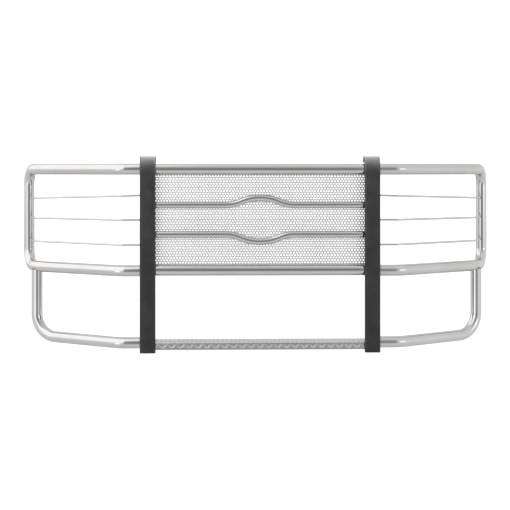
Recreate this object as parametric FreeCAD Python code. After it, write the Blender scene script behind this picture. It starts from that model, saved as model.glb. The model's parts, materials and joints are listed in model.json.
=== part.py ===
import FreeCAD, Part
import os
from math import atan2, cos, pi, radians, sin, sqrt, tan

from FreeCAD import Vector

# Front grille guard for a full-size pickup truck.
# X points to the guard's right-hand side as a person in front of the truck sees it, Y points back
# towards the truck, and Z points up.  Millimetres.  The sizes below count Z from the uprights' feet
# and Y from the axes of the straight cross tubes.  Each finished piece is then moved, so that the
# origin of the model is midway between the four frame bolts, on the plane where the guard meets the
# truck's frame.

# ---- tube and bar stock -------------------------------------------------------------------------
TUBE_OD = 50.8                 # 2 inch tube: cross tubes and both loops
TUBE_WALL = 2.0
EMBLEM_OD = 31.75              # 1 1/4 inch tube: the two bars that frame the emblem space
EMBLEM_WALL = 1.65
ROD_D = 9.525                  # 3/8 inch rod across the headlights
WEB_THICK = 6.35               # 1/4 inch plate on edge
FACE_THICK = 4.8               # 3/16 inch flat bar
FACE_WIDTH = 60.0
STRIP_THICK = 12.0             # rubber
STRIP_WIDTH = 70.0
STRIP_EDGE_R = 9.0             # rounding of the strip's long edges

# ---- uprights -----------------------------------------------------------------------------------
UPRIGHT_X = 496.0              # middle of each upright
UPRIGHT_HEIGHT = 873.0
FRONT_Y = -45.0                # front of the rubber
HOOK_BEND_R = 140.0            # gentle bend that starts the hook, at the front of the rubber
HOOK_BEND_TURN = 30.0          # degrees
HOOK_TIP_R = 24.0              # tight bend over the top, at the front of the rubber
HOOK_TIP_DROP = 11.0           # straight end behind the top
WEB_BACK_Y = 40.0
WEB_EAR_Y = 95.0               # the web is deeper where the frame bracket is bolted on
WEB_EAR_LOW = 105.0
WEB_EAR_HIGH = 305.0
WEB_EAR_SLOPE = 35.0
WEB_CORNER_R = 12.0

# ---- cross tubes between the uprights -----------------------------------------------------------
TOP_BAR_Z = 808.0
LOW_BAR_Z = 361.0
UPPER_EMBLEM_Z = 650.0
LOWER_EMBLEM_Z = 519.0
EMBLEM_RISE = 31.75            # height of the hump and of the dip
EMBLEM_HALF = 152.0            # half the length of the hump
EMBLEM_CROWN_R = 220.0         # bend at the middle of the hump

# ---- punched plate ------------------------------------------------------------------------------
PLATE_THICK = 1.5
FIT_GAP = 0.3                  # between the plate's edges and the tubes that they are welded to

# ---- tread step ---------------------------------------------------------------------------------
STEP_TOP_Z = 43.6
STEP_LOW_Z = 12.0
STEP_BACK_Y = 73.0
STEP_THICK = 3.0
STEP_BEND_R = 5.0              # outside of the folds

# ---- wings: the loops and rods outside the uprights ---------------------------------------------
WING_TOP_Z = 809.0
WING_LOW_Z = 358.5
WING_FOOT_Z = 39.5
SWEEP_START_X = 622.0          # where the wing starts to sweep back
SWEEP_END = (1028.0, 207.0)    # X and Y where the headlight loop turns further back
HEADLIGHT_END = (1083.0, 322.0)
BUMPER_END = (1024.0, 205.0)
SWEEP_BEND_R = 101.6
BUMPER_CORNER_R = 101.6
HEADLIGHT_CORNER_R = 76.2
ROD_BEND_R = 60.0
ROD_HEIGHTS = ((693.5, 671.0), (584.0, 582.5), (473.0, 475.0))   # at the web, at the outer tube

# ---- fasteners and frame brackets ---------------------------------------------------------------
STUD_D = 6.0
STUD_HEAD_D = 16.0
STUD_HEAD_THICK = 3.0
STUD_LENGTH = 20.0             # from the back of the head
STUD_HOLE_D = 6.6
STUD_OFFSET_X = 17.0           # beside the web, on alternate sides
STUD_HEIGHTS = (75.0, 255.0, 435.0, 590.0, 740.0)
STRIP_NUT_AF = 10.0
STRIP_NUT_THICK = 5.0
BOLT_D = 12.0
BOLT_HOLE_D = 13.5
BOLT_HEAD_AF = 18.0
BOLT_HEAD_THICK = 7.5
NUT_THICK = 10.8
WASHER_D = 24.0
WASHER_THICK = 2.5
BOLT_TAIL = 3.0                # thread showing past the nut
THREAD_GAP = 0.1               # round a nut's or washer's bore
BRACKET_THICK = 6.35
BRACKET_LOW_Z = 120.0
BRACKET_HIGH_Z = 290.0
BRACKET_FRONT_Y = 46.0
BRACKET_BACK_Y = 150.0         # the face that meets the truck's frame
BRACKET_FOOT = 40.0            # width of the leg that meets the truck's frame
BRACKET_BEND_R = 10.0
BRACKET_BOLT_Y = 70.0
BRACKET_BOLT_Z = (155.0, 255.0)
FRAME_HOLE_X = 520.0           # holes for the frame bolts
FRAME_HOLE_Z = (155.0, 255.0)
FRAME_HOLE_D = 13.5

SHORTEST_RUN = 0.01            # bends closer together than this share their end

X_AXIS = Vector(1, 0, 0)
Y_AXIS = Vector(0, 1, 0)
Z_AXIS = Vector(0, 0, 1)
ORIGIN = Vector(0, 0, 0)
WEB_INNER_X = UPRIGHT_X - WEB_THICK / 2
WEB_OUTER_X = UPRIGHT_X + WEB_THICK / 2
FACE_FRONT_Y = FRONT_Y + STRIP_THICK
FACE_BACK_Y = FACE_FRONT_Y + FACE_THICK
FRAME_BOLT_MIDDLE = Vector(0, BRACKET_BACK_Y, sum(FRAME_HOLE_Z) / len(FRAME_HOLE_Z))


def save(node, shape):
    """Move one node's solids to the model's origin, and write them to a STEP file."""
    shape.translated(FRAME_BOLT_MIDDLE * -1).exportStep("parts/" + node + ".step")


def mirrored(shape):
    return shape.mirror(ORIGIN, X_AXIS)


def save_pair(stem, right, suffix=""):
    """Write a piece of the right-hand side and its mirror image."""
    save(stem + "_right" + suffix, right)
    save(stem + "_left" + suffix, mirrored(right))


# ---- bent tubes ---------------------------------------------------------------------------------
def disc(at, along, radius):
    return Part.Face(Part.Wire(Part.makeCircle(radius, at, along)))


def bent_bar(corners, bend_radii, radius):
    """A round bar along straight runs that are joined by tangent arcs at the inner corners."""
    pieces = []
    start = corners[0]
    for corner, following, bend_r in zip(corners[1:-1], corners[2:], bend_radii):
        arriving = (corner - start).normalize()
        leaving = (following - corner).normalize()
        turn = arriving.getAngle(leaving)
        setback = bend_r * tan(turn / 2)
        arc_start = corner - arriving * setback
        bend_axis = arriving.cross(leaving).normalize()
        centre = arc_start + bend_axis.cross(arriving) * bend_r
        run = arc_start - start
        if run.Length > SHORTEST_RUN:
            pieces.append(disc(start, arriving, radius).extrude(run))
        pieces.append(disc(arc_start, arriving, radius).revolve(centre, bend_axis, turn * 180 / pi))
        start = corner + leaving * setback
    last = corners[-1] - start
    pieces.append(disc(start, last, radius).extrude(last))
    return pieces[0].multiFuse(pieces[1:]).removeSplitter()


def bent_tube(corners, bend_radii, outer_d, wall):
    outside = bent_bar(corners, bend_radii, outer_d / 2)
    inside = bent_bar(corners, bend_radii, outer_d / 2 - wall)
    return outside.cut(inside)


def straight_tube(z, outer_d, wall):
    """A tube between the webs of the two uprights."""
    ends = [Vector(-WEB_INNER_X, 0, z), Vector(WEB_INNER_X, 0, z)]
    return bent_tube(ends, [], outer_d, wall)


# ---- uprights -----------------------------------------------------------------------------------
def hook_edge(depth):
    """The line of the upright's face in side view, at a depth behind the front of the rubber."""
    bend_r = HOOK_BEND_R - depth
    tip_r = HOOK_TIP_R - depth
    turn = radians(HOOK_BEND_TURN)
    tip_z = UPRIGHT_HEIGHT - HOOK_TIP_R
    bend_z = tip_z - (HOOK_BEND_R - HOOK_TIP_R) * sin(turn)
    bend_centre = Vector(0, FRONT_Y + HOOK_BEND_R, bend_z)
    tip_centre = bend_centre + Vector(0, -cos(turn), sin(turn)) * (HOOK_BEND_R - HOOK_TIP_R)

    def on_arc(centre, radius, angle):
        return centre + Vector(0, -cos(angle), sin(angle)) * radius

    foot = Vector(0, FRONT_Y + depth, 0)
    bend_start = on_arc(bend_centre, bend_r, 0)
    bend_end = on_arc(bend_centre, bend_r, turn)
    tip_end = on_arc(tip_centre, tip_r, pi)
    drop = tip_end - Z_AXIS * HOOK_TIP_DROP
    bend_middle = on_arc(bend_centre, bend_r, turn / 2)
    tip_middle = on_arc(tip_centre, tip_r, (turn + pi) / 2)
    edges = [
        Part.makeLine(foot, bend_start),
        Part.Arc(bend_start, bend_middle, bend_end).toShape(),
        Part.Arc(bend_end, tip_middle, tip_end).toShape(),
        Part.makeLine(tip_end, drop),
    ]
    return edges, foot, drop


def hooked_band(depth, thickness, width):
    """A band that follows the upright's face, of even thickness, centred on the upright."""
    front, front_foot, front_drop = hook_edge(depth)
    back, back_foot, back_drop = hook_edge(depth + thickness)
    outline = front + [Part.makeLine(front_drop, back_drop)] + back
    outline.append(Part.makeLine(back_foot, front_foot))
    face = Part.Face(Part.Wire(Part.__sortEdges__(outline)))
    band = face.extrude(X_AXIS * width)
    band.translate(X_AXIS * (UPRIGHT_X - width / 2))
    return band


def along_y(x, z, y, length, radius):
    return Part.makeCylinder(radius, length, Vector(x, y, z), Y_AXIS)


def stud_places():
    """Middles of the studs: they stand on alternate sides of the web."""
    places = []
    for number, z in enumerate(STUD_HEIGHTS):
        side = 1 if number % 2 else -1
        places.append((UPRIGHT_X + side * STUD_OFFSET_X, z))
    return places


def upright_face():
    bar = hooked_band(STRIP_THICK, FACE_THICK, FACE_WIDTH)
    for x, z in stud_places():
        bar = bar.cut(along_y(x, z, FACE_FRONT_Y - 1, FACE_THICK + 2, STUD_HOLE_D / 2))
    return bar


def impact_strip():
    strip = hooked_band(0, STRIP_THICK, STRIP_WIDTH)
    left = UPRIGHT_X - STRIP_WIDTH / 2
    right = UPRIGHT_X + STRIP_WIDTH / 2
    front_edges = []
    outer_line = hook_edge(0)[0]
    for edge in strip.Edges:
        middle = edge.valueAt((edge.FirstParameter + edge.LastParameter) / 2)
        on_side = min(abs(middle.x - left), abs(middle.x - right)) < 0.01
        probe = Part.Vertex(Vector(0, middle.y, middle.z))
        on_front = min(line.distToShape(probe)[0] for line in outer_line) < 0.01
        if on_side and on_front:
            front_edges.append(edge)
    strip = strip.makeFillet(STRIP_EDGE_R, front_edges)
    for x, z in stud_places():
        y = FACE_FRONT_Y - STUD_HEAD_THICK
        strip = strip.cut(along_y(x, z, y, STUD_HEAD_THICK + 1, STUD_HEAD_D / 2))
    return strip


def upright_web():
    """The plate on edge that carries every tube, filled up into the hook."""
    front, foot, drop = hook_edge(STRIP_THICK + FACE_THICK)
    corners = [
        drop,
        Vector(0, WEB_BACK_Y, drop.z),
        Vector(0, WEB_BACK_Y, WEB_EAR_HIGH + WEB_EAR_SLOPE),
        Vector(0, WEB_EAR_Y, WEB_EAR_HIGH),
        Vector(0, WEB_EAR_Y, WEB_EAR_LOW),
        Vector(0, WEB_BACK_Y, WEB_EAR_LOW - WEB_EAR_SLOPE),
        Vector(0, WEB_BACK_Y, 0),
        foot,
    ]
    back = [Part.makeLine(a, b) for a, b in zip(corners, corners[1:])]
    outline = Part.Wire(Part.__sortEdges__(front + back))
    plate = Part.Face(outline).extrude(X_AXIS * WEB_THICK)
    plate.translate(X_AXIS * WEB_INNER_X)
    back_corners = [edge for edge in plate.Edges if is_web_corner(edge)]
    plate = plate.makeFillet(WEB_CORNER_R, back_corners)
    for z in BRACKET_BOLT_Z:
        hole = Vector(WEB_INNER_X - 1, BRACKET_BOLT_Y, z)
        plate = plate.cut(Part.makeCylinder(BOLT_HOLE_D / 2, WEB_THICK + 2, hole, X_AXIS))
    return plate


def is_web_corner(edge):
    """True for the short edges across the plate at its back corners."""
    first = edge.Vertexes[0].Point
    last = edge.Vertexes[-1].Point
    across = abs(abs(last.x - first.x) - WEB_THICK) < 0.01
    return across and first.y > WEB_BACK_Y - 0.01


def strip_studs():
    studs = []
    for x, z in stud_places():
        head = along_y(x, z, FACE_FRONT_Y - STUD_HEAD_THICK, STUD_HEAD_THICK, STUD_HEAD_D / 2)
        shank = along_y(x, z, FACE_FRONT_Y, STUD_LENGTH, STUD_D / 2)
        studs.append(head.fuse(shank).removeSplitter())
    return studs


def hexagon(at, along, across_flats, length):
    """A hexagonal prism with its first corner straight up."""
    radius = across_flats / sqrt(3)
    side = along.cross(Z_AXIS).normalize()
    corners = []
    for number in range(7):
        angle = number * pi / 3
        corners.append(at + Z_AXIS * radius * cos(angle) + side * radius * sin(angle))
    return Part.Face(Part.makePolygon(corners)).extrude(along * length)


def nut(at, along, across_flats, length, bore_d):
    bore = Part.makeCylinder(bore_d / 2 + THREAD_GAP, length, at, along)
    return hexagon(at, along, across_flats, length).cut(bore)


def strip_nuts():
    nuts = []
    for x, z in stud_places():
        at = Vector(x, FACE_BACK_Y, z)
        nuts.append(nut(at, Y_AXIS, STRIP_NUT_AF, STRIP_NUT_THICK, STUD_D))
    return nuts


def both_sides(solids):
    """A group of loose solids: those of the right-hand side, and their mirror images."""
    return Part.makeCompound(solids + [mirrored(solid) for solid in solids])


# ---- pieces between the uprights ----------------------------------------------------------------
def emblem_bar(z, direction):
    """A straight bar with a smooth hump in its middle: two side bends and a longer crown bend."""
    half_turn = 2 * atan2(EMBLEM_RISE, EMBLEM_HALF)
    both_r = EMBLEM_HALF / sin(half_turn)
    side_r = both_r - EMBLEM_CROWN_R
    setback = side_r * tan(half_turn / 2)
    shoulder = EMBLEM_HALF - setback
    peak = EMBLEM_RISE + EMBLEM_CROWN_R * (1 / cos(half_turn) - 1)
    corners = [
        Vector(-WEB_INNER_X, 0, z),
        Vector(-shoulder, 0, z),
        Vector(0, 0, z + direction * peak),
        Vector(shoulder, 0, z),
        Vector(WEB_INNER_X, 0, z),
    ]
    radii = [side_r, EMBLEM_CROWN_R, side_r]
    return bent_tube(corners, radii, EMBLEM_OD, EMBLEM_WALL)


def punch_plate():
    """The sheet lies against the backs of the emblem bars, between the two cross tubes.

    Its 5/16 inch holes, staggered on 1/2 inch centres, are too many for a solid and are left out.
    """
    front_y = EMBLEM_OD / 2
    reach = sqrt((TUBE_OD / 2) ** 2 - front_y ** 2) + FIT_GAP
    low_z = LOW_BAR_Z + reach
    high_z = TOP_BAR_Z - reach
    return Part.makeBox(
        2 * WEB_INNER_X, PLATE_THICK, high_z - low_z, Vector(-WEB_INNER_X, front_y, low_z)
    )


def tread_step():
    """A flat-topped channel folded from tread plate, open below."""
    outer = folded_outline(0)
    inner = folded_outline(STEP_THICK)
    profile = outer.cut(inner)
    step = profile.extrude(X_AXIS * 2 * WEB_INNER_X)
    step.translate(X_AXIS * -WEB_INNER_X)
    return step


def folded_outline(inset):
    """The area inside the channel's skin, with the two upper folds rounded."""
    radius = STEP_BEND_R - inset
    front = FACE_BACK_Y + inset
    back = STEP_BACK_Y - inset
    top = STEP_TOP_Z - inset
    low = STEP_LOW_Z - inset
    lean = radius * (1 - sqrt(0.5))
    edges = [
        Part.makeLine(Vector(0, front, low), Vector(0, front, top - radius)),
        Part.Arc(
            Vector(0, front, top - radius),
            Vector(0, front + lean, top - lean),
            Vector(0, front + radius, top),
        ).toShape(),
        Part.makeLine(Vector(0, front + radius, top), Vector(0, back - radius, top)),
        Part.Arc(
            Vector(0, back - radius, top),
            Vector(0, back - lean, top - lean),
            Vector(0, back, top - radius),
        ).toShape(),
        Part.makeLine(Vector(0, back, top - radius), Vector(0, back, low)),
        Part.makeLine(Vector(0, back, low), Vector(0, front, low)),
    ]
    return Part.Face(Part.Wire(edges))


# ---- wings --------------------------------------------------------------------------------------
def headlight_corners():
    corners = []
    for x, y in ((WEB_OUTER_X, 0), (SWEEP_START_X, 0), SWEEP_END, HEADLIGHT_END):
        corners.append(Vector(x, y, WING_TOP_Z))
    for top in reversed(corners[:4]):
        corners.append(Vector(top.x, top.y, WING_LOW_Z))
    return corners


def headlight_radii():
    return [SWEEP_BEND_R, SWEEP_BEND_R, HEADLIGHT_CORNER_R, HEADLIGHT_CORNER_R, SWEEP_BEND_R, SWEEP_BEND_R]


def headlight_loop():
    return bent_tube(headlight_corners(), headlight_radii(), TUBE_OD, TUBE_WALL)


def bumper_loop():
    """The loop's free end is coped to the underside of the headlight loop."""
    corners = [
        Vector(WEB_OUTER_X, 0, WING_FOOT_Z),
        Vector(SWEEP_START_X, 0, WING_FOOT_Z),
        Vector(BUMPER_END[0], BUMPER_END[1], WING_FOOT_Z),
        Vector(BUMPER_END[0], BUMPER_END[1], WING_LOW_Z - TUBE_OD / 4),
    ]
    tube = bent_tube(corners, [SWEEP_BEND_R, BUMPER_CORNER_R], TUBE_OD, TUBE_WALL)
    return tube.cut(bent_bar(headlight_corners(), headlight_radii(), TUBE_OD / 2))


def headlight_rod(web_z, end_z):
    """A rod that follows the wing's plan and ends on the loop's outer tube."""
    plan = [(WEB_OUTER_X, 0), (SWEEP_START_X, 0), SWEEP_END, HEADLIGHT_END]
    travelled = [0.0]
    for (x0, y0), (x1, y1) in zip(plan, plan[1:]):
        travelled.append(travelled[-1] + sqrt((x1 - x0) ** 2 + (y1 - y0) ** 2))
    corners = []
    for (x, y), distance in zip(plan, travelled):
        corners.append(Vector(x, y, web_z + (end_z - web_z) * distance / travelled[-1]))
    rod = bent_bar(corners, [ROD_BEND_R, ROD_BEND_R], ROD_D / 2)
    upright_run = Vector(HEADLIGHT_END[0], HEADLIGHT_END[1], WING_LOW_Z)
    outer_tube = Part.makeCylinder(TUBE_OD / 2, WING_TOP_Z - WING_LOW_Z, upright_run, Z_AXIS)
    return rod.cut(outer_tube)


# ---- frame brackets and their bolts -------------------------------------------------------------
def frame_bracket():
    """An angle: one leg lies on the outside of the web, the other faces the truck's frame."""
    height = BRACKET_HIGH_Z - BRACKET_LOW_Z
    side_leg = Part.makeBox(
        BRACKET_THICK, BRACKET_BACK_Y - BRACKET_FRONT_Y, height,
        Vector(WEB_OUTER_X, BRACKET_FRONT_Y, BRACKET_LOW_Z),
    )
    back_leg = Part.makeBox(
        BRACKET_FOOT, BRACKET_THICK, height,
        Vector(WEB_OUTER_X, BRACKET_BACK_Y - BRACKET_THICK, BRACKET_LOW_Z),
    )
    angle = side_leg.fuse(back_leg).removeSplitter()
    fold = [edge for edge in angle.Edges if is_bracket_fold(edge)]
    angle = angle.makeFillet(BRACKET_BEND_R, fold)
    for z in BRACKET_BOLT_Z:
        at = Vector(WEB_OUTER_X - 1, BRACKET_BOLT_Y, z)
        angle = angle.cut(Part.makeCylinder(BOLT_HOLE_D / 2, BRACKET_THICK + 2, at, X_AXIS))
    behind = BRACKET_BACK_Y - BRACKET_THICK - 1
    for z in FRAME_HOLE_Z:
        angle = angle.cut(along_y(FRAME_HOLE_X, z, behind, BRACKET_THICK + 2, FRAME_HOLE_D / 2))
    return angle


def is_bracket_fold(edge):
    """True for the upright edge on the outside of the bracket's fold."""
    first = edge.Vertexes[0].Point
    last = edge.Vertexes[-1].Point
    stands = abs(last.z - first.z) > 1 and abs(last.x - first.x) < 0.01
    at_fold = abs(first.x - WEB_OUTER_X) < 0.01 and abs(first.y - BRACKET_BACK_Y) < 0.01
    return stands and at_fold


def bracket_bolts():
    """Hexagon bolts with their heads on the inside of the web."""
    bolts = []
    grip = WEB_THICK + BRACKET_THICK + WASHER_THICK
    for z in BRACKET_BOLT_Z:
        at = Vector(WEB_INNER_X, BRACKET_BOLT_Y, z)
        head = hexagon(at, X_AXIS * -1, BOLT_HEAD_AF, BOLT_HEAD_THICK)
        shank = Part.makeCylinder(BOLT_D / 2, grip + NUT_THICK + BOLT_TAIL, at, X_AXIS)
        bolts.append(head.fuse(shank).removeSplitter())
    return bolts


def bracket_washers():
    washers = []
    for z in BRACKET_BOLT_Z:
        at = Vector(WEB_OUTER_X + BRACKET_THICK, BRACKET_BOLT_Y, z)
        ring = Part.makeCylinder(WASHER_D / 2, WASHER_THICK, at, X_AXIS)
        bore = Part.makeCylinder(BOLT_D / 2 + THREAD_GAP, WASHER_THICK, at, X_AXIS)
        washers.append(ring.cut(bore))
    return washers


def bracket_nuts():
    nuts = []
    for z in BRACKET_BOLT_Z:
        at = Vector(WEB_OUTER_X + BRACKET_THICK + WASHER_THICK, BRACKET_BOLT_Y, z)
        nuts.append(nut(at, X_AXIS, BOLT_HEAD_AF, NUT_THICK, BOLT_D))
    return nuts


def build():
    os.makedirs("parts", exist_ok=True)
    save_pair("upright_web", upright_web())
    save_pair("upright_face", upright_face())
    save_pair("impact_strip", impact_strip())
    save("top_crossbar", straight_tube(TOP_BAR_Z, TUBE_OD, TUBE_WALL))
    save("lower_crossbar", straight_tube(LOW_BAR_Z, TUBE_OD, TUBE_WALL))
    save("upper_emblem_bar", emblem_bar(UPPER_EMBLEM_Z, 1))
    save("lower_emblem_bar", emblem_bar(LOWER_EMBLEM_Z, -1))
    save("punch_plate", punch_plate())
    save("tread_step", tread_step())
    save_pair("headlight_loop", headlight_loop())
    save_pair("bumper_loop", bumper_loop())
    for number, (web_z, end_z) in enumerate(ROD_HEIGHTS, start=1):
        save_pair("headlight_rod", headlight_rod(web_z, end_z), "_" + str(number))
    save_pair("frame_bracket", frame_bracket())
    save("bracket_bolts", both_sides(bracket_bolts()))
    save("bracket_washers", both_sides(bracket_washers()))
    save("bracket_nuts", both_sides(bracket_nuts()))
    save("strip_studs", both_sides(strip_studs()))
    save("strip_nuts", both_sides(strip_nuts()))


build()
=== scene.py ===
import json
from math import atan2, cos, pi, radians, sin, sqrt, tan

import bpy
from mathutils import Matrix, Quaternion, Vector
from mathutils.geometry import delaunay_2d_cdt


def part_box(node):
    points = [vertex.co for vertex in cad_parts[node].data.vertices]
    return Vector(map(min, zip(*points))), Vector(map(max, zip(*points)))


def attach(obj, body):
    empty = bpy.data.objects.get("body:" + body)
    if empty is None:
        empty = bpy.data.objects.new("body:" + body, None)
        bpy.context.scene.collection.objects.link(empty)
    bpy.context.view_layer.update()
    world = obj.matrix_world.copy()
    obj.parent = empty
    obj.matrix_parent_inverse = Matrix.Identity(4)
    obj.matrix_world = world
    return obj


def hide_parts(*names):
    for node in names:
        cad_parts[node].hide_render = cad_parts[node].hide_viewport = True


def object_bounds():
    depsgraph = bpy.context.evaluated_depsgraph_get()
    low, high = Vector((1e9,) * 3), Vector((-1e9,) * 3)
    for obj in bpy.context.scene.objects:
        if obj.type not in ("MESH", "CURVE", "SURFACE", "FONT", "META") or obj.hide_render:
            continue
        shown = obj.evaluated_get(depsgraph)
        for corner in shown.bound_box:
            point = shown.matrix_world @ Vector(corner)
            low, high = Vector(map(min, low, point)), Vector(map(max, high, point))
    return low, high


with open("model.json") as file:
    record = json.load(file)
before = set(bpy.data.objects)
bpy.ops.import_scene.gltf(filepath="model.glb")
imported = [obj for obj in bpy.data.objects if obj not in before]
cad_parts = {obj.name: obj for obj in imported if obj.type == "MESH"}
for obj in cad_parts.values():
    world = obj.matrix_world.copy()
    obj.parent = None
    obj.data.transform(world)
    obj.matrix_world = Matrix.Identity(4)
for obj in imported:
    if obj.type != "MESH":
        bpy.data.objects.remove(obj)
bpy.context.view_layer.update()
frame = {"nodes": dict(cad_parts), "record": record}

# Looks of the front grille guard.  Metres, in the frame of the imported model: X to the guard's right
# as seen from in front, Y back towards the truck, Z up.

# ---- sizes that repeat the guard's own --------------------------------------------------------------
TUBE_R = 0.0254
TUBE_WALL = 0.002
EMBLEM_R = 0.015875
EMBLEM_WALL = 0.00165
ROD_R = 0.0047625
SWEEP_START_X = 0.622
SWEEP_END = (1.028, 0.207)
HEADLIGHT_END = (1.083, 0.322)
BUMPER_END = (1.024, 0.205)
SWEEP_BEND_R = 0.1016
BUMPER_CORNER_R = 0.1016
HEADLIGHT_CORNER_R = 0.0762
ROD_BEND_R = 0.060
EMBLEM_RISE = 0.03175
EMBLEM_HALF = 0.152
EMBLEM_CROWN_R = 0.220
HOOK_BEND_R = 0.140
HOOK_BEND_TURN = radians(30)
HOOK_TIP_R = 0.024
HOOK_TIP_DROP = 0.011
STRIP_THICK = 0.012
HOLE_R = 0.00396875
HOLE_PITCH = 0.0127

# ---- small rounding and shading sizes ---------------------------------------------------------------
STRIP_SHOULDER_R = 0.009
STRIP_CROWN = 0.0006            # how far the strip's middle stands above its shoulders
STRIP_EDGE = 0.0012
CREASE_TURN = radians(38)       # faces that meet at a sharper turn than this keep a hard edge
EDGE_TURN = radians(50)         # the same, for edges that are softened


def middle(node, axis):
    low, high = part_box(node)
    return (low[axis] + high[axis]) / 2


WEB_INNER_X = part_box("upright_web_right")[0][0]
WEB_OUTER_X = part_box("upright_web_right")[1][0]
UPRIGHT_X = middle("upright_face_right", 0)
UPRIGHT_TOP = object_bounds()[1][2]
FRONT_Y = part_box("impact_strip_right")[0][1]
AXIS_Y = middle("top_crossbar", 1)
FOOT_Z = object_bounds()[0][2]
TOP_BAR_Z = middle("top_crossbar", 2)
LOW_BAR_Z = middle("lower_crossbar", 2)
WING_TOP_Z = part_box("headlight_loop_right")[1][2] - TUBE_R
WING_LOW_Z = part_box("headlight_loop_right")[0][2] + TUBE_R
WING_FOOT_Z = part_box("bumper_loop_right")[0][2] + TUBE_R


# ---- meshes ----------------------------------------------------------------------------------------
def piece(name, vertices, faces, material, smooth=True, stands_for=()):
    """A finished piece of the guard that rides on its one body."""
    mesh = bpy.data.meshes.new(name)
    mesh.from_pydata(vertices, [], faces)
    mesh.validate()
    mesh.polygons.foreach_set("use_smooth", [smooth] * len(mesh.polygons))
    if smooth:
        mesh.set_sharp_from_angle(angle=CREASE_TURN)
    mesh.materials.append(material)
    made = bpy.data.objects.new(name, mesh)
    bpy.context.scene.collection.objects.link(made)
    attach(made, "root")
    if stands_for:
        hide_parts(*stands_for)
    return made


def route(corners, bend_radii, step=radians(3)):
    """Points along straight runs joined by tangent arcs, close together only on the arcs."""
    points = [corners[0]]
    for before, corner, after, bend_r in zip(corners, corners[1:], corners[2:], bend_radii):
        arriving = (corner - before).normalized()
        leaving = (after - corner).normalized()
        turn = arriving.angle(leaving)
        axis = arriving.cross(leaving).normalized()
        arc_start = corner - arriving * bend_r * tan(turn / 2)
        centre = arc_start + axis.cross(arriving) * bend_r
        count = max(3, round(turn / step))
        for number in range(count + 1):
            turned = Quaternion(axis, turn * number / count)
            points.append(centre + turned @ (arc_start - centre))
    points.append(corners[-1])
    clean = [points[0]]
    for point in points[1:]:
        if (point - clean[-1]).length > 1e-5:
            clean.append(point)
    return clean


def frames_along(points):
    """A pair of directions square to the line at each point, carried along without twist."""
    tangents = []
    for number, point in enumerate(points):
        before = points[max(0, number - 1)]
        after = points[min(len(points) - 1, number + 1)]
        tangents.append((after - before).normalized())
    tangents[0] = (points[1] - points[0]).normalized()
    tangents[-1] = (points[-1] - points[-2]).normalized()
    start = Vector((0, 0, 1)) if abs(tangents[0].z) < 0.9 else Vector((0, 1, 0))
    side = tangents[0].cross(start).normalized()
    frames = []
    previous = tangents[0]
    for tangent in tangents:
        side = previous.rotation_difference(tangent) @ side
        side = (side - tangent * side.dot(tangent)).normalized()
        frames.append((side, tangent.cross(side)))
        previous = tangent
    return frames


def swept(points, radius, around):
    """Rings of vertices round a line."""
    rings = []
    for point, (side, up) in zip(points, frames_along(points)):
        for number in range(around):
            angle = 2 * pi * number / around
            rings.append(point + (side * cos(angle) + up * sin(angle)) * radius)
    return rings


def tube_mesh(points, radius, wall, around=48):
    """Vertices and faces of a closed tube with an outer and an inner skin."""
    vertices = swept(points, radius, around) + swept(points, radius - wall, around)
    faces = []
    inner = len(points) * around
    for ring in range(len(points) - 1):
        for number in range(around):
            beside = (number + 1) % around
            low = ring * around
            high = low + around
            faces.append((low + number, low + beside, high + beside, high + number))
            faces.append((inner + low + beside, inner + low + number,
                          inner + high + number, inner + high + beside))
    last = (len(points) - 1) * around
    for number in range(around):
        beside = (number + 1) % around
        faces.append((number, inner + number, inner + beside, beside))
        faces.append((last + beside, inner + last + beside, inner + last + number, last + number))
    return vertices, faces


def bar_mesh(points, radius, around=20):
    """Vertices and faces of a closed solid bar."""
    vertices = swept(points, radius, around)
    faces = []
    for ring in range(len(points) - 1):
        for number in range(around):
            beside = (number + 1) % around
            low = ring * around
            faces.append((low + number, low + beside, low + around + beside, low + around + number))
    last = (len(points) - 1) * around
    faces.append(tuple(range(around - 1, -1, -1)))
    faces.append(tuple(range(last, last + around)))
    return vertices, faces


def across(points, side):
    """The same points on the right-hand side (1) or mirrored to the left-hand side (-1)."""
    return [Vector((point[0] * side, point[1], point[2])) for point in points]


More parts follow.
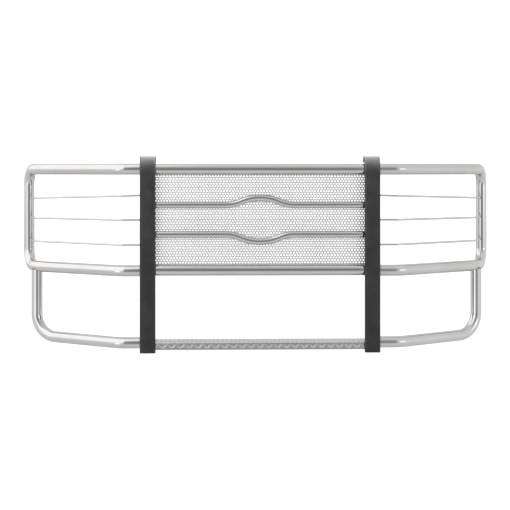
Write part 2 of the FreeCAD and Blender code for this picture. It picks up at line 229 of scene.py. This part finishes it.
# ---- node materials --------------------------------------------------------------------------------
class Nodes:
    """A short way to write a material's nodes."""

    def __init__(self, name):
        self.material = bpy.data.materials.new(name)
        self.material.use_nodes = True
        self.tree = self.material.node_tree
        self.shader = self.tree.nodes["Principled BSDF"]
        self.coordinates = self.tree.nodes.new("ShaderNodeTexCoord").outputs["Object"]

    def add(self, kind, inputs=None, **settings):
        node = self.tree.nodes.new(kind)
        for key, value in settings.items():
            setattr(node, key, value)
        for key, value in (inputs or {}).items():
            self.connect(value, node.inputs[key])
        return node

    def connect(self, value, socket):
        if isinstance(value, bpy.types.NodeSocket):
            self.tree.links.new(value, socket)
        else:
            socket.default_value = value

    def set(self, **values):
        for key, value in values.items():
            self.connect(value, self.shader.inputs[key.replace("_", " ")])

    def stretched(self, scale):
        mapping = self.add("ShaderNodeMapping", {"Vector": self.coordinates, "Scale": scale})
        return mapping.outputs["Vector"]

    def noise(self, scale, detail=2.0, roughness=0.5, at=None):
        node = self.add("ShaderNodeTexNoise", {
            "Vector": at or self.coordinates, "Scale": scale, "Detail": detail, "Roughness": roughness,
        })
        return node.outputs["Fac"]

    def ranged(self, value, low, high, to_low, to_high):
        node = self.add("ShaderNodeMapRange", {
            "Value": value, "From Min": low, "From Max": high, "To Min": to_low, "To Max": to_high,
        })
        return node.outputs["Result"]

    def blend(self, factor, first, second):
        node = self.add("ShaderNodeMix", data_type="RGBA")
        self.connect(factor, node.inputs["Factor"])
        self.connect(first, node.inputs["A"])
        self.connect(second, node.inputs["B"])
        return node.outputs["Result"]

    def maths(self, operation, first, second):
        node = self.add("ShaderNodeMath", {0: first, 1: second}, operation=operation)
        return node.outputs["Value"]

    def bump(self, height, distance, strength=1.0, after=None):
        inputs = {"Height": height, "Distance": distance, "Strength": strength}
        if after is not None:
            inputs["Normal"] = after
        return self.add("ShaderNodeBump", inputs).outputs["Normal"]


def grey(value, warm=0.0):
    return (value * (1 + warm), value, value * (1 - warm), 1)


def polished_tube():
    """Mirror-polished stainless tube: faint wipe marks, fine polishing lines and a slow waviness."""
    n = Nodes("polished_tube")
    wipe = n.noise(9.0, 4.0, 0.6)
    fine = n.noise(420.0, 2.0, 0.6)
    slow = n.noise(6.0, 1.0, 0.4)
    tint = n.blend(n.ranged(wipe, 0.35, 0.7, 0.0, 1.0), grey(0.60, 0.004), grey(0.565, 0.012))
    n.set(Base_Color=tint, Metallic=1.0)
    marks = n.ranged(wipe, 0.35, 0.75, 0.055, 0.12)
    n.set(Roughness=n.maths("ADD", marks, n.ranged(fine, 0.4, 0.8, 0.0, 0.03)))
    wave = n.bump(slow, 0.0006, 0.35)
    n.set(Normal=n.bump(fine, 0.00001, 0.5, wave))
    return n.material


def punched_sheet():
    """Satin stainless sheet: crosswise polishing grain and slightly duller patches."""
    n = Nodes("punched_sheet")
    grain = n.noise(60.0, 3.0, 0.65, n.stretched((0.6, 12.0, 12.0)))
    patches = n.noise(7.0, 2.0)
    tint = n.blend(n.ranged(patches, 0.35, 0.7, 0.0, 1.0), grey(0.82, 0.004), grey(0.74, 0.008))
    n.set(Base_Color=tint, Metallic=1.0)
    n.set(Roughness=n.ranged(grain, 0.3, 0.75, 0.36, 0.52))
    n.set(Normal=n.bump(grain, 0.00004, 0.5))
    return n.material


def tread_metal():
    """Bright tread plate: mill finish with rolling streaks and small scuffs."""
    n = Nodes("tread_metal")
    streaks = n.noise(30.0, 3.0, 0.6, n.stretched((0.5, 9.0, 9.0)))
    scuffs = n.noise(180.0, 3.0, 0.7)
    tint = n.blend(n.ranged(scuffs, 0.45, 0.75, 0.0, 1.0), grey(0.60, 0.004), grey(0.46, 0.01))
    n.set(Base_Color=tint, Metallic=1.0)
    n.set(Roughness=n.ranged(streaks, 0.3, 0.75, 0.14, 0.28))
    n.set(Normal=n.bump(scuffs, 0.00006, 0.4))
    return n.material


def moulded_rubber():
    """Black moulded rubber: fine pebble from the mould, and a dusty bloom in patches."""
    n = Nodes("moulded_rubber")
    pebble = n.noise(1500.0, 2.0, 0.6)
    bloom = n.noise(14.0, 4.0, 0.6)
    tint = n.blend(n.ranged(bloom, 0.4, 0.75, 0.0, 1.0), grey(0.006), grey(0.011, -0.02))
    n.set(Base_Color=tint)
    n.set(Roughness=n.ranged(bloom, 0.3, 0.75, 0.40, 0.52))
    n.shader.inputs["Specular IOR Level"].default_value = 0.45
    n.set(Normal=n.bump(pebble, 0.00012, 0.55))
    return n.material


def powder_coat():
    """Semi-gloss black powder coat with its orange-peel texture."""
    n = Nodes("powder_coat")
    peel = n.noise(520.0, 1.0, 0.4)
    dust = n.noise(20.0, 3.0, 0.6)
    n.set(Base_Color=n.blend(n.ranged(dust, 0.45, 0.8, 0.0, 1.0), grey(0.014), grey(0.028)))
    n.set(Roughness=n.ranged(dust, 0.3, 0.8, 0.30, 0.44))
    n.set(Normal=n.bump(peel, 0.0001, 0.5))
    return n.material


def zinc_plate():
    """Zinc-plated fasteners: pale bluish grey with a mottled passivation."""
    n = Nodes("zinc_plate")
    mottle = n.noise(260.0, 3.0, 0.6)
    tint = n.blend(n.ranged(mottle, 0.35, 0.7, 0.0, 1.0), (0.50, 0.51, 0.52, 1), (0.60, 0.585, 0.53, 1))
    n.set(Base_Color=tint, Metallic=1.0)
    n.set(Roughness=n.ranged(mottle, 0.3, 0.8, 0.24, 0.40))
    n.set(Normal=n.bump(mottle, 0.00005, 0.4))
    return n.material


def weld_metal():
    """Brushed-down weld bead: heat-tinted edges and a coarser, duller surface than the tube."""
    n = Nodes("weld_metal")
    ripple = n.noise(380.0, 2.0, 0.6)
    heat = n.noise(40.0, 2.0)
    tint = n.blend(n.ranged(heat, 0.4, 0.7, 0.0, 1.0), grey(0.50), grey(0.40, 0.05))
    n.set(Base_Color=tint, Metallic=1.0)
    n.set(Roughness=n.ranged(ripple, 0.3, 0.8, 0.25, 0.45))
    n.set(Normal=n.bump(ripple, 0.0002, 0.6))
    return n.material


TUBE = polished_tube()
SHEET = punched_sheet()
TREAD = tread_metal()
RUBBER = moulded_rubber()
COAT = powder_coat()
ZINC = zinc_plate()
WELD = weld_metal()


# ---- carried-over CAD nodes ------------------------------------------------------------------------
def dress_cad_nodes():
    finishes = {"coated_steel": COAT, "bracket_steel": COAT, "zinc_fasteners": ZINC, "tread_plate": TREAD}
    for entry in frame["record"]["subparts"]:
        finish = finishes.get(entry["material_slot"])
        if finish:
            carried = frame["nodes"][entry["node"]]
            for place in carried.material_slots:
                place.material = finish


dress_cad_nodes()


# ---- tubes between the uprights --------------------------------------------------------------------
def cross_tube(node, z):
    ends = [Vector((-WEB_INNER_X, AXIS_Y, z)), Vector((WEB_INNER_X, AXIS_Y, z))]
    vertices, faces = tube_mesh(ends, TUBE_R, TUBE_WALL, 64)
    piece(node + "_polished", vertices, faces, TUBE, stands_for=[node])


def emblem_bar(node, z, direction):
    """A straight bar with a smooth hump in its middle: two side bends and a longer crown bend."""
    half_turn = 2 * atan2(EMBLEM_RISE, EMBLEM_HALF)
    side_r = EMBLEM_HALF / sin(half_turn) - EMBLEM_CROWN_R
    shoulder = EMBLEM_HALF - side_r * tan(half_turn / 2)
    peak = EMBLEM_RISE + EMBLEM_CROWN_R * (1 / cos(half_turn) - 1)
    corners = [
        Vector((-WEB_INNER_X, AXIS_Y, z)),
        Vector((-shoulder, AXIS_Y, z)),
        Vector((0, AXIS_Y, z + direction * peak)),
        Vector((shoulder, AXIS_Y, z)),
        Vector((WEB_INNER_X, AXIS_Y, z)),
    ]
    points = route(corners, [side_r, EMBLEM_CROWN_R, side_r], radians(1.5))
    vertices, faces = tube_mesh(points, EMBLEM_R, EMBLEM_WALL)
    piece(node + "_polished", vertices, faces, TUBE, stands_for=[node])


UPPER_EMBLEM_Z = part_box("upper_emblem_bar")[0][2] + EMBLEM_R
LOWER_EMBLEM_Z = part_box("lower_emblem_bar")[1][2] - EMBLEM_R
cross_tube("top_crossbar", TOP_BAR_Z)
cross_tube("lower_crossbar", LOW_BAR_Z)
emblem_bar("upper_emblem_bar", UPPER_EMBLEM_Z, 1)
emblem_bar("lower_emblem_bar", LOWER_EMBLEM_Z, -1)


# ---- wings -----------------------------------------------------------------------------------------
WING_PLAN = [(WEB_OUTER_X, AXIS_Y), (SWEEP_START_X, AXIS_Y)]
WING_PLAN += [(x, AXIS_Y + y) for x, y in (SWEEP_END, HEADLIGHT_END)]


def headlight_loop(side, name):
    corners = [(x, y, WING_TOP_Z) for x, y in WING_PLAN]
    corners += [(x, y, WING_LOW_Z) for x, y in reversed(WING_PLAN)]
    radii = [SWEEP_BEND_R, SWEEP_BEND_R, HEADLIGHT_CORNER_R]
    points = route(across(corners, side), radii + radii[::-1])
    vertices, faces = tube_mesh(points, TUBE_R, TUBE_WALL)
    node = "headlight_loop_" + name
    piece(node + "_polished", vertices, faces, TUBE, stands_for=[node])


def bumper_loop(side, name):
    """The free end runs just into the underside of the headlight loop, where it is welded."""
    corners = [
        (WEB_OUTER_X, AXIS_Y, WING_FOOT_Z),
        (SWEEP_START_X, AXIS_Y, WING_FOOT_Z),
        (BUMPER_END[0], AXIS_Y + BUMPER_END[1], WING_FOOT_Z),
        (BUMPER_END[0], AXIS_Y + BUMPER_END[1], WING_LOW_Z - TUBE_R / 2),
    ]
    points = route(across(corners, side), [SWEEP_BEND_R, BUMPER_CORNER_R])
    vertices, faces = tube_mesh(points, TUBE_R, TUBE_WALL)
    node = "bumper_loop_" + name
    piece(node + "_polished", vertices, faces, TUBE, stands_for=[node])


def headlight_rod(side, name, number):
    node = "headlight_rod_" + name + "_" + str(number)
    low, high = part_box(node)
    rising = number == 3
    web_z = low[2] + ROD_R if rising else high[2] - ROD_R
    end_z = high[2] - ROD_R if rising else low[2] + ROD_R
    travelled = [0.0]
    for (x0, y0), (x1, y1) in zip(WING_PLAN, WING_PLAN[1:]):
        travelled.append(travelled[-1] + sqrt((x1 - x0) ** 2 + (y1 - y0) ** 2))
    reach = travelled[-1] - TUBE_R * 0.97
    travelled[-1] = reach
    (x0, y0), (x1, y1) = WING_PLAN[-2:]
    part = (reach - travelled[-2]) / sqrt((x1 - x0) ** 2 + (y1 - y0) ** 2)
    plan = WING_PLAN[:-1] + [(x0 + (x1 - x0) * part, y0 + (y1 - y0) * part)]
    corners = []
    for (x, y), distance in zip(plan, travelled):
        corners.append((x, y, web_z + (end_z - web_z) * distance / reach))
    points = route(across(corners, side), [ROD_BEND_R, ROD_BEND_R])
    vertices, faces = bar_mesh(points, ROD_R)
    piece(node + "_polished", vertices, faces, TUBE, stands_for=[node])


for wing_side, wing_name in ((1, "right"), (-1, "left")):
    headlight_loop(wing_side, wing_name)
    bumper_loop(wing_side, wing_name)
    for rod_number in (1, 2, 3):
        headlight_rod(wing_side, wing_name, rod_number)


# ---- punched plate ---------------------------------------------------------------------------------
def punched_plate(around=12, roll=0.00035, margin=0.004):
    """The whole sheet as one closed mesh, with every hole's rolled edge and wall."""
    low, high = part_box("punch_plate")
    row_pitch = HOLE_PITCH * sqrt(3) / 2
    edge = margin + HOLE_R
    rows = int((high[2] - low[2] - 2 * edge) / row_pitch)
    columns = int((high[0] - low[0] - 2 * edge) / HOLE_PITCH)
    first_z = (low[2] + high[2] - rows * row_pitch) / 2
    centres = []
    for row in range(rows + 1):
        in_row = columns + 1 - row % 2
        for column in range(in_row):
            x = (column - (in_row - 1) / 2) * HOLE_PITCH
            centres.append((x, first_z + row * row_pitch))
    circle = [(cos(2 * pi * k / around), sin(2 * pi * k / around)) for k in range(around)]
    mouth_r = HOLE_R + roll
    flat = [Vector((low[0], low[2])), Vector((high[0], low[2]))]
    flat += [Vector((high[0], high[2])), Vector((low[0], high[2]))]
    loops = [[0, 1, 2, 3]]
    for x, z in centres:
        start = len(flat)
        flat += [Vector((x + c * mouth_r, z + s * mouth_r)) for c, s in circle]
        loops.append(list(range(start, start + around)))
    edges = [(a, b) for loop in loops for a, b in zip(loop, loop[1:] + loop[:1])]
    out = delaunay_2d_cdt(flat, edges, [], 0, 1e-9)
    kept = [face for face in out[2] if not inside_hole(out[0], face, first_z, row_pitch, columns, rows)]
    front_y = low[1]
    back_y = high[1]
    count = len(flat)
    vertices = [(p.x, front_y, p.y) for p in out[0]] + [(p.x, back_y, p.y) for p in out[0]]
    faces = [tuple(face) for face in kept]
    faces += [tuple(count + index for index in reversed(face)) for face in kept]
    add_walls(vertices, faces, loops, centres, circle, count, (front_y, back_y, roll))
    if len(out[0]) != count:
        raise RuntimeError("the plate's outline was split")
    return piece("punch_plate_holes", vertices, faces, SHEET, False, ["punch_plate"])


def inside_hole(points, face, first_z, row_pitch, columns, rows):
    """True for a triangle that lies within one of the holes."""
    x = sum(points[index].x for index in face) / 3
    z = sum(points[index].y for index in face) / 3
    row = round((z - first_z) / row_pitch)
    if row < 0 or row > rows:
        return False
    in_row = columns + 1 - row % 2
    column = round(x / HOLE_PITCH + (in_row - 1) / 2)
    if column < 0 or column >= in_row:
        return False
    hole_x = (column - (in_row - 1) / 2) * HOLE_PITCH
    return (x - hole_x) ** 2 + (z - first_z - row * row_pitch) ** 2 < HOLE_R ** 2


def add_walls(vertices, faces, loops, centres, circle, count, depths):
    """Closes the sheet's edge and each hole between its two faces, with the mouths rolled in."""
    front_y, back_y, roll = depths
    for a, b in zip(loops[0], loops[0][1:] + loops[0][:1]):
        faces.append((b, a, count + a, count + b))
    for (x, z), loop in zip(centres, loops[1:]):
        start = len(vertices)
        for y in (front_y + roll, back_y - roll):
            vertices += [(x + c * HOLE_R, y, z + s * HOLE_R) for c, s in circle]
        around = len(loop)
        for k in range(around):
            beside = (k + 1) % around
            faces.append((loop[k], loop[beside], start + beside, start + k))
            faces.append((start + k, start + beside, start + around + beside, start + around + k))
            faces.append((start + around + k, start + around + beside,
                          count + loop[beside], count + loop[k]))


punched_plate()


# ---- rubber strips ---------------------------------------------------------------------------------
def hook_line(step=radians(6)):
    """Points on the front of the rubber in side view, with the outward direction at each."""
    tip_z = UPRIGHT_TOP - HOOK_TIP_R
    reach = HOOK_BEND_R - HOOK_TIP_R
    bend_centre = Vector((0, FRONT_Y + HOOK_BEND_R, tip_z - reach * sin(HOOK_BEND_TURN)))
    tip_centre = bend_centre + Vector((0, -cos(HOOK_BEND_TURN), sin(HOOK_BEND_TURN))) * reach
    line = []
    straight = 24
    for number in range(straight):
        z = FOOT_Z + (bend_centre.z - FOOT_Z) * number / straight
        line.append((Vector((0, FRONT_Y, z)), Vector((0, -1, 0))))
    count = 10
    for number in range(count):
        angle = HOOK_BEND_TURN * number / count
        out = Vector((0, -cos(angle), sin(angle)))
        line.append((bend_centre + out * HOOK_BEND_R, out))
    count = round((pi - HOOK_BEND_TURN) / step)
    for number in range(count + 1):
        angle = HOOK_BEND_TURN + (pi - HOOK_BEND_TURN) * number / count
        out = Vector((0, -cos(angle), sin(angle)))
        line.append((tip_centre + out * HOOK_TIP_R, out))
    line.append((line[-1][0] - Vector((0, 0, HOOK_TIP_DROP)), Vector((0, 1, 0))))
    return line


def strip_section(half_width, corner_r, crown, corner_steps=7):
    """The strip's cross-section as (across, depth below the crown) points: round-shouldered."""
    section = []
    for side in (-1, 1):
        arc = []
        for number in range(corner_steps + 1):
            angle = pi / 2 * number / corner_steps
            x = half_width - corner_r + corner_r * sin(angle)
            arc.append((side * x, crown + corner_r * (1 - cos(angle))))
        section += arc[::-1] if side < 0 else arc
        if side < 0:
            for step in (-0.5, 0.0, 0.5):
                section.append((step * half_width, crown * step * step))
    section.append((half_width, STRIP_THICK))
    section.append((-half_width, STRIP_THICK))
    return section


def rubber_strip(side, name):
    node = "impact_strip_" + name
    low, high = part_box(node)
    half_width = (high[0] - low[0]) / 2
    section = strip_section(half_width, STRIP_SHOULDER_R, STRIP_CROWN)
    line = hook_line()
    vertices = []
    for point, out in line:
        for x, depth in section:
            at = point - out * depth
            vertices.append((side * UPRIGHT_X + x, at.y, at.z))
    size = len(section)
    faces = []
    for ring in range(len(line) - 1):
        for number in range(size):
            beside = (number + 1) % size
            low_ring = ring * size
            faces.append((low_ring + number, low_ring + beside,
                          low_ring + size + beside, low_ring + size + number))
    faces.append(tuple(range(size - 1, -1, -1)))
    last = (len(line) - 1) * size
    faces.append(tuple(range(last, last + size)))
    strip = piece(node + "_moulded", vertices, faces, RUBBER, stands_for=[node])
    soften_edges(strip, STRIP_EDGE)
    return strip


def soften_edges(thing, width):
    """Small bevels along the sharp edges, with flat areas kept flat in shading."""
    bevel = thing.modifiers.new("edge", "BEVEL")
    bevel.width = width
    bevel.segments = 2
    bevel.limit_method = "ANGLE"
    bevel.angle_limit = EDGE_TURN
    bevel.harden_normals = True


RUBBER_STRIPS = [rubber_strip(1, "right"), rubber_strip(-1, "left")]


# ---- tread step ------------------------------------------------------------------------------------
LUG_LENGTH = 0.025
LUG_WIDTH = 0.0085
LUG_HEIGHT = 0.0012
LUG_SPACING = 0.0195
LUG_SINK = 0.0002               # how far a lug's sides reach into the plate
LUG_MARGIN = 0.003              # between the lugs and the plate's folds


def lug(vertices, faces, at, along, across_lug, out):
    """One raised lug: a pointed, domed bar that sinks slightly into the plate."""
    start = len(vertices)
    stations = 6
    ribs = 5
    for station in range(stations + 1):
        t = 2 * station / stations - 1
        width = LUG_WIDTH / 2 * max(0.12, (1 - abs(t) ** 2.2))
        for rib in range(ribs):
            s = 2 * rib / (ribs - 1) - 1
            rise = LUG_HEIGHT * (1 - s * s) * max(0.1, 1 - t ** 4)
            sunk = LUG_SINK if abs(s) == 1 else 0.0
            vertices.append(at + along * (t * LUG_LENGTH / 2) + across_lug * (s * width)
                            + out * (rise - sunk))
    for station in range(stations):
        for rib in range(ribs - 1):
            a = start + station * ribs + rib
            faces.append((a, a + ribs, a + ribs + 1, a + 1))
        base = start + station * ribs
        faces.append((base, base + ribs - 1, base + 2 * ribs - 1, base + ribs))
    faces.append(tuple(start + rib for rib in range(ribs)))
    end = start + stations * ribs
    faces.append(tuple(end + rib for rib in range(ribs - 1, -1, -1)))


def tread_lugs():
    """Lugs in alternate directions over the step's top and its front and back lips."""
    low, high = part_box("tread_step")
    vertices = []
    faces = []
    x_dir = Vector((1, 0, 0))
    lips = [
        (Vector((0, low[1], 0)), Vector((0, 0, 1)), Vector((0, -1, 0)), low[2], high[2]),
        (Vector((0, 0, high[2])), Vector((0, 1, 0)), Vector((0, 0, 1)), low[1], high[1]),
        (Vector((0, high[1], 0)), Vector((0, 0, 1)), Vector((0, 1, 0)), low[2], high[2]),
    ]
    reach = LUG_LENGTH / 2 * sqrt(0.5) + LUG_MARGIN
    columns = int((high[0] - low[0] - 2 * reach) / LUG_SPACING)
    for base, up, out, start, end in lips:
        rows = max(1, int((end - start - 2 * reach) / LUG_SPACING) + 1)
        first = (start + end - (rows - 1) * LUG_SPACING) / 2
        for row in range(rows):
            for column in range(columns + 1):
                x = (column - columns / 2) * LUG_SPACING
                lean = 1 if (row + column) % 2 else -1
                along = (x_dir + up * lean).normalized()
                sideways = along.cross(out)
                at = base + x_dir * x + up * (first + row * LUG_SPACING)
                lug(vertices, faces, at, along, sideways, out)
    piece("tread_step_lugs", vertices, faces, TREAD)


tread_lugs()


# ---- weld beads ------------------------------------------------------------------------------------
def weld_ring(name, centre, axis, radius, bead=0.003):
    """A rippled fillet of weld round a tube's end."""
    axis = axis.normalized()
    side = axis.orthogonal().normalized()
    up = axis.cross(side)
    around = 96
    ribs = 8
    vertices = []
    faces = []
    for number in range(around):
        angle = 2 * pi * number / around
        spoke = side * cos(angle) + up * sin(angle)
        size = bead * (1 + 0.12 * sin(24 * angle) + 0.05 * sin(7 * angle + centre.z * 90))
        for rib in range(ribs):
            turn = 2 * pi * rib / ribs
            out = spoke * (radius + size * cos(turn) * 0.8)
            vertices.append(centre + out + axis * size * sin(turn) * 0.8)
    for number in range(around):
        beside = (number + 1) % around
        for rib in range(ribs):
            next_rib = (rib + 1) % ribs
            faces.append((number * ribs + rib, beside * ribs + rib,
                          beside * ribs + next_rib, number * ribs + next_rib))
    return piece(name, vertices, faces, WELD)


def weld_all():
    for side, name in ((1, "right"), (-1, "left")):
        inner = side * WEB_INNER_X
        outer = side * WEB_OUTER_X
        x_dir = Vector((1, 0, 0))
        weld_ring("weld_top_bar_" + name, Vector((inner, AXIS_Y, TOP_BAR_Z)), x_dir, TUBE_R)
        weld_ring("weld_low_bar_" + name, Vector((inner, AXIS_Y, LOW_BAR_Z)), x_dir, TUBE_R)
        weld_ring("weld_upper_emblem_" + name, Vector((inner, AXIS_Y, UPPER_EMBLEM_Z)), x_dir, EMBLEM_R)
        weld_ring("weld_lower_emblem_" + name, Vector((inner, AXIS_Y, LOWER_EMBLEM_Z)), x_dir, EMBLEM_R)
        weld_ring("weld_wing_top_" + name, Vector((outer, AXIS_Y, WING_TOP_Z)), x_dir, TUBE_R)
        weld_ring("weld_wing_low_" + name, Vector((outer, AXIS_Y, WING_LOW_Z)), x_dir, TUBE_R)
        weld_ring("weld_wing_foot_" + name, Vector((outer, AXIS_Y, WING_FOOT_Z)), x_dir, TUBE_R)


weld_all()


# ---- studio ----------------------------------------------------------------------------------------
FLOOR_SIDE = 28.0
FLOOR_DROP = 0.15               # the guard hangs from the truck's frame, clear of the ground
WALL_RADIUS = 9.0
WORLD_LIGHT = 1.5
LAMP_SIZE = (3.0, 2.2)
LAMP_POWER = 350
LAMP_HEIGHT = 1.2               # above the uprights
LAMP_BEHIND = 0.25              # behind the cross tubes


def set_piece(name, vertices, faces, material):
    """A piece of the studio."""
    mesh = bpy.data.meshes.new(name)
    mesh.from_pydata(vertices, [], faces)
    mesh.materials.append(material)
    made = bpy.data.objects.new(name, mesh)
    bpy.context.scene.collection.objects.link(made)
    return made


def floor_paint():
    n = Nodes("floor_paint")
    mottle = n.noise(1.5, 3.0)
    n.set(Base_Color=n.blend(mottle, grey(0.89), grey(0.91)), Roughness=0.9)
    n.shader.inputs["Specular IOR Level"].default_value = 0.1
    return n.material


def pale_floor():
    half = FLOOR_SIDE / 2
    level = FOOT_Z - FLOOR_DROP
    corners = [(-half, -half, level), (half, -half, level), (half, half, level), (-half, half, level)]
    sheet = set_piece("studio_floor", corners, [(0, 1, 2, 3)], floor_paint())
    sheet.visible_glossy = False


# What the polished tubes mirror: the walls, ceiling and floor of the studio, by direction.  Each
# profile lists (elevation in degrees, brightness); each reach lists (azimuth in degrees, share),
# with azimuth 0 in front of the guard and 90 to its right.  The two keys are soft bright panels
# that show as highlights in the tubes' bends.
BRIGHTEST = 2.0                 # no profile goes above this
FRONT_PROFILE = [(-90, 0.75), (-60, 0.85), (-36, 0.86), (-20, 0.66), (-9, 0.40), (-2, 0.27), (12, 0.27),
                 (22, 0.36), (40, 0.62), (62, 0.84), (90, 1.05)]
LEFT_PROFILE = [(-90, 0.75), (-60, 0.79), (-36, 0.84), (-18, 0.90), (-4, 0.98), (3, 1.25), (8, 1.55),
                (60, 1.55), (90, 1.15)]
RIGHT_PROFILE = [(-90, 0.75), (-60, 0.80), (-36, 0.86), (-18, 0.95), (0, 1.02), (20, 0.95), (40, 0.90),
                 (60, 0.93), (90, 1.05)]
BACK_PROFILE = [(-90, 0.75), (-60, 0.72), (-40, 0.66), (-10, 0.66), (4, 0.78), (16, 0.85), (30, 0.78),
                (60, 0.85), (90, 1.05)]
LEFT_KEY_PROFILE = [(-90, 0), (-30, 0), (-12, 1.2), (5, 0), (90, 0)]
RIGHT_KEY_PROFILE = [(-90, 0), (-5, 0), (5, 1.6), (16, 0), (90, 0)]
FRONT_REACH = [(-180, 0), (-19, 0), (-9, 1), (8, 1), (44, 0), (180, 0)]
LEFT_REACH = [(-180, 0), (-150, 0), (-120, 1), (-19, 1), (-9, 0), (180, 0)]
RIGHT_REACH = [(-180, 0), (8, 0), (44, 1), (110, 1), (150, 0), (180, 0)]
BACK_REACH = [(-180, 1), (-150, 1), (-120, 0), (110, 0), (150, 1), (180, 1)]
LEFT_KEY_REACH = [(-180, 0), (-56, 0), (-38, 1), (-22, 0), (180, 0)]
RIGHT_KEY_REACH = [(-180, 0), (24, 0), (46, 1), (68, 0), (180, 0)]
WALLS = [
    (FRONT_PROFILE, FRONT_REACH),
    (LEFT_PROFILE, LEFT_REACH),
    (RIGHT_PROFILE, RIGHT_REACH),
    (BACK_PROFILE, BACK_REACH),
    (LEFT_KEY_PROFILE, LEFT_KEY_REACH),
    (RIGHT_KEY_PROFILE, RIGHT_KEY_REACH),
]


def by_angle(n, angle, widest, stops, top):
    """A smooth reading of (angle, value) stops, as a share of top, from -widest to widest degrees."""
    part = n.ranged(angle, -widest, widest, 0.0, 1.0)
    ramp = n.add("ShaderNodeValToRGB", {"Fac": part})
    ramp.color_ramp.interpolation = "EASE"
    while len(ramp.color_ramp.elements) < len(stops):
        ramp.color_ramp.elements.new(0.5)
    for element, (place, value) in zip(ramp.color_ramp.elements, stops):
        element.position = (place + widest) / (2 * widest)
        element.color = grey(value / top)
    return ramp.outputs["Color"]


def studio_glow():
    """Light from the walls, by the direction in which each point of them lies."""
    n = Nodes("studio_glow")
    n.tree.nodes.remove(n.shader)
    split = n.add("ShaderNodeSeparateXYZ", {"Vector": n.coordinates})
    x, y, z = (split.outputs[axis] for axis in "XYZ")
    azimuth = n.maths("MULTIPLY", n.maths("ARCTAN2", x, n.maths("MULTIPLY", y, -1.0)), 180 / pi)
    height = n.maths("DIVIDE", z, WALL_RADIUS)
    elevation = n.maths("MULTIPLY", n.maths("ARCSINE", height, 0.0), 180 / pi)
    total = 0.0
    for profile, reach in WALLS:
        bright = by_angle(n, elevation, 90, profile, BRIGHTEST)
        share = by_angle(n, azimuth, 180, reach, 1.0)
        total = n.maths("ADD", n.maths("MULTIPLY", bright, share), total)
    strength = n.maths("MULTIPLY", total, BRIGHTEST)
    glow = n.add("ShaderNodeEmission", {"Color": grey(1), "Strength": strength})
    n.tree.links.new(glow.outputs["Emission"], n.tree.nodes["Material Output"].inputs["Surface"])
    return n.material


def studio_walls(around=64, high=32):
    """A shell round the set that only polished surfaces see."""
    vertices = []
    faces = []
    for ring in range(high + 1):
        tilt = pi * ring / high - pi / 2
        ring_r = WALL_RADIUS * cos(tilt)
        for number in range(around):
            turn = 2 * pi * number / around
            vertices.append((ring_r * sin(turn), -ring_r * cos(turn), WALL_RADIUS * sin(tilt)))
    for ring in range(high):
        for number in range(around):
            beside = (number + 1) % around
            low = ring * around
            faces.append((low + number, low + beside, low + around + beside, low + around + number))
    shell = set_piece("studio_walls", vertices, faces, studio_glow())
    shell.location = (0, AXIS_Y, (FOOT_Z + UPRIGHT_TOP) / 2)
    shell.visible_camera = False
    shell.visible_diffuse = False
    shell.visible_shadow = False
    shell.visible_transmission = False
    shell.visible_volume_scatter = False


def overhead_lamp(lit_things):
    """A soft lamp above the guard that faces straight down and lights only the things given."""
    lamp = bpy.data.lights.new("overhead", "AREA")
    lamp.shape = "RECTANGLE"
    lamp.size, lamp.size_y = LAMP_SIZE
    lamp.energy = LAMP_POWER
    held = bpy.data.objects.new("overhead", lamp)
    held.location = (0, AXIS_Y + LAMP_BEHIND, UPRIGHT_TOP + LAMP_HEIGHT)
    held.visible_camera = False
    bpy.context.scene.collection.objects.link(held)
    lit = bpy.data.collections.new("overhead_lit")
    for thing in lit_things:
        lit.objects.link(thing)
    held.light_linking.receiver_collection = lit


def even_world():
    """Even light from all round, which polished surfaces don't mirror."""
    world = bpy.data.worlds.new("studio")
    world.use_nodes = True
    background = world.node_tree.nodes["Background"]
    background.inputs["Color"].default_value = grey(1)
    background.inputs["Strength"].default_value = WORLD_LIGHT
    world.cycles_visibility.glossy = False
    bpy.context.scene.world = world


pale_floor()
studio_walls()
even_world()
overhead_lamp(RUBBER_STRIPS)


# ---- camera ----------------------------------------------------------------------------------------
SENSOR_WIDTH = 36.0             # millimetres, as is the lens
LENS = 66.1
CAMERA_SHIFT = (0.05, -0.1684)
CAMERA_X = -0.223
CAMERA_IN_FRONT = 4.157         # of the cross tubes
CAMERA_HEIGHT = 0.809           # above the uprights' feet
CAMERA_TURN = radians(-1.21)


def camera():
    """A level camera in front of the guard, at about the height of its top tube."""
    data = bpy.data.cameras.new("view")
    data.sensor_width = SENSOR_WIDTH
    data.lens = LENS
    data.shift_x, data.shift_y = CAMERA_SHIFT
    held = bpy.data.objects.new("view", data)
    held.location = (CAMERA_X, AXIS_Y - CAMERA_IN_FRONT, FOOT_Z + CAMERA_HEIGHT)
    held.rotation_euler = (pi / 2, 0, CAMERA_TURN)
    bpy.context.scene.collection.objects.link(held)
    bpy.context.scene.camera = held


camera()
bpy.context.scene.view_settings.view_transform = "Standard"
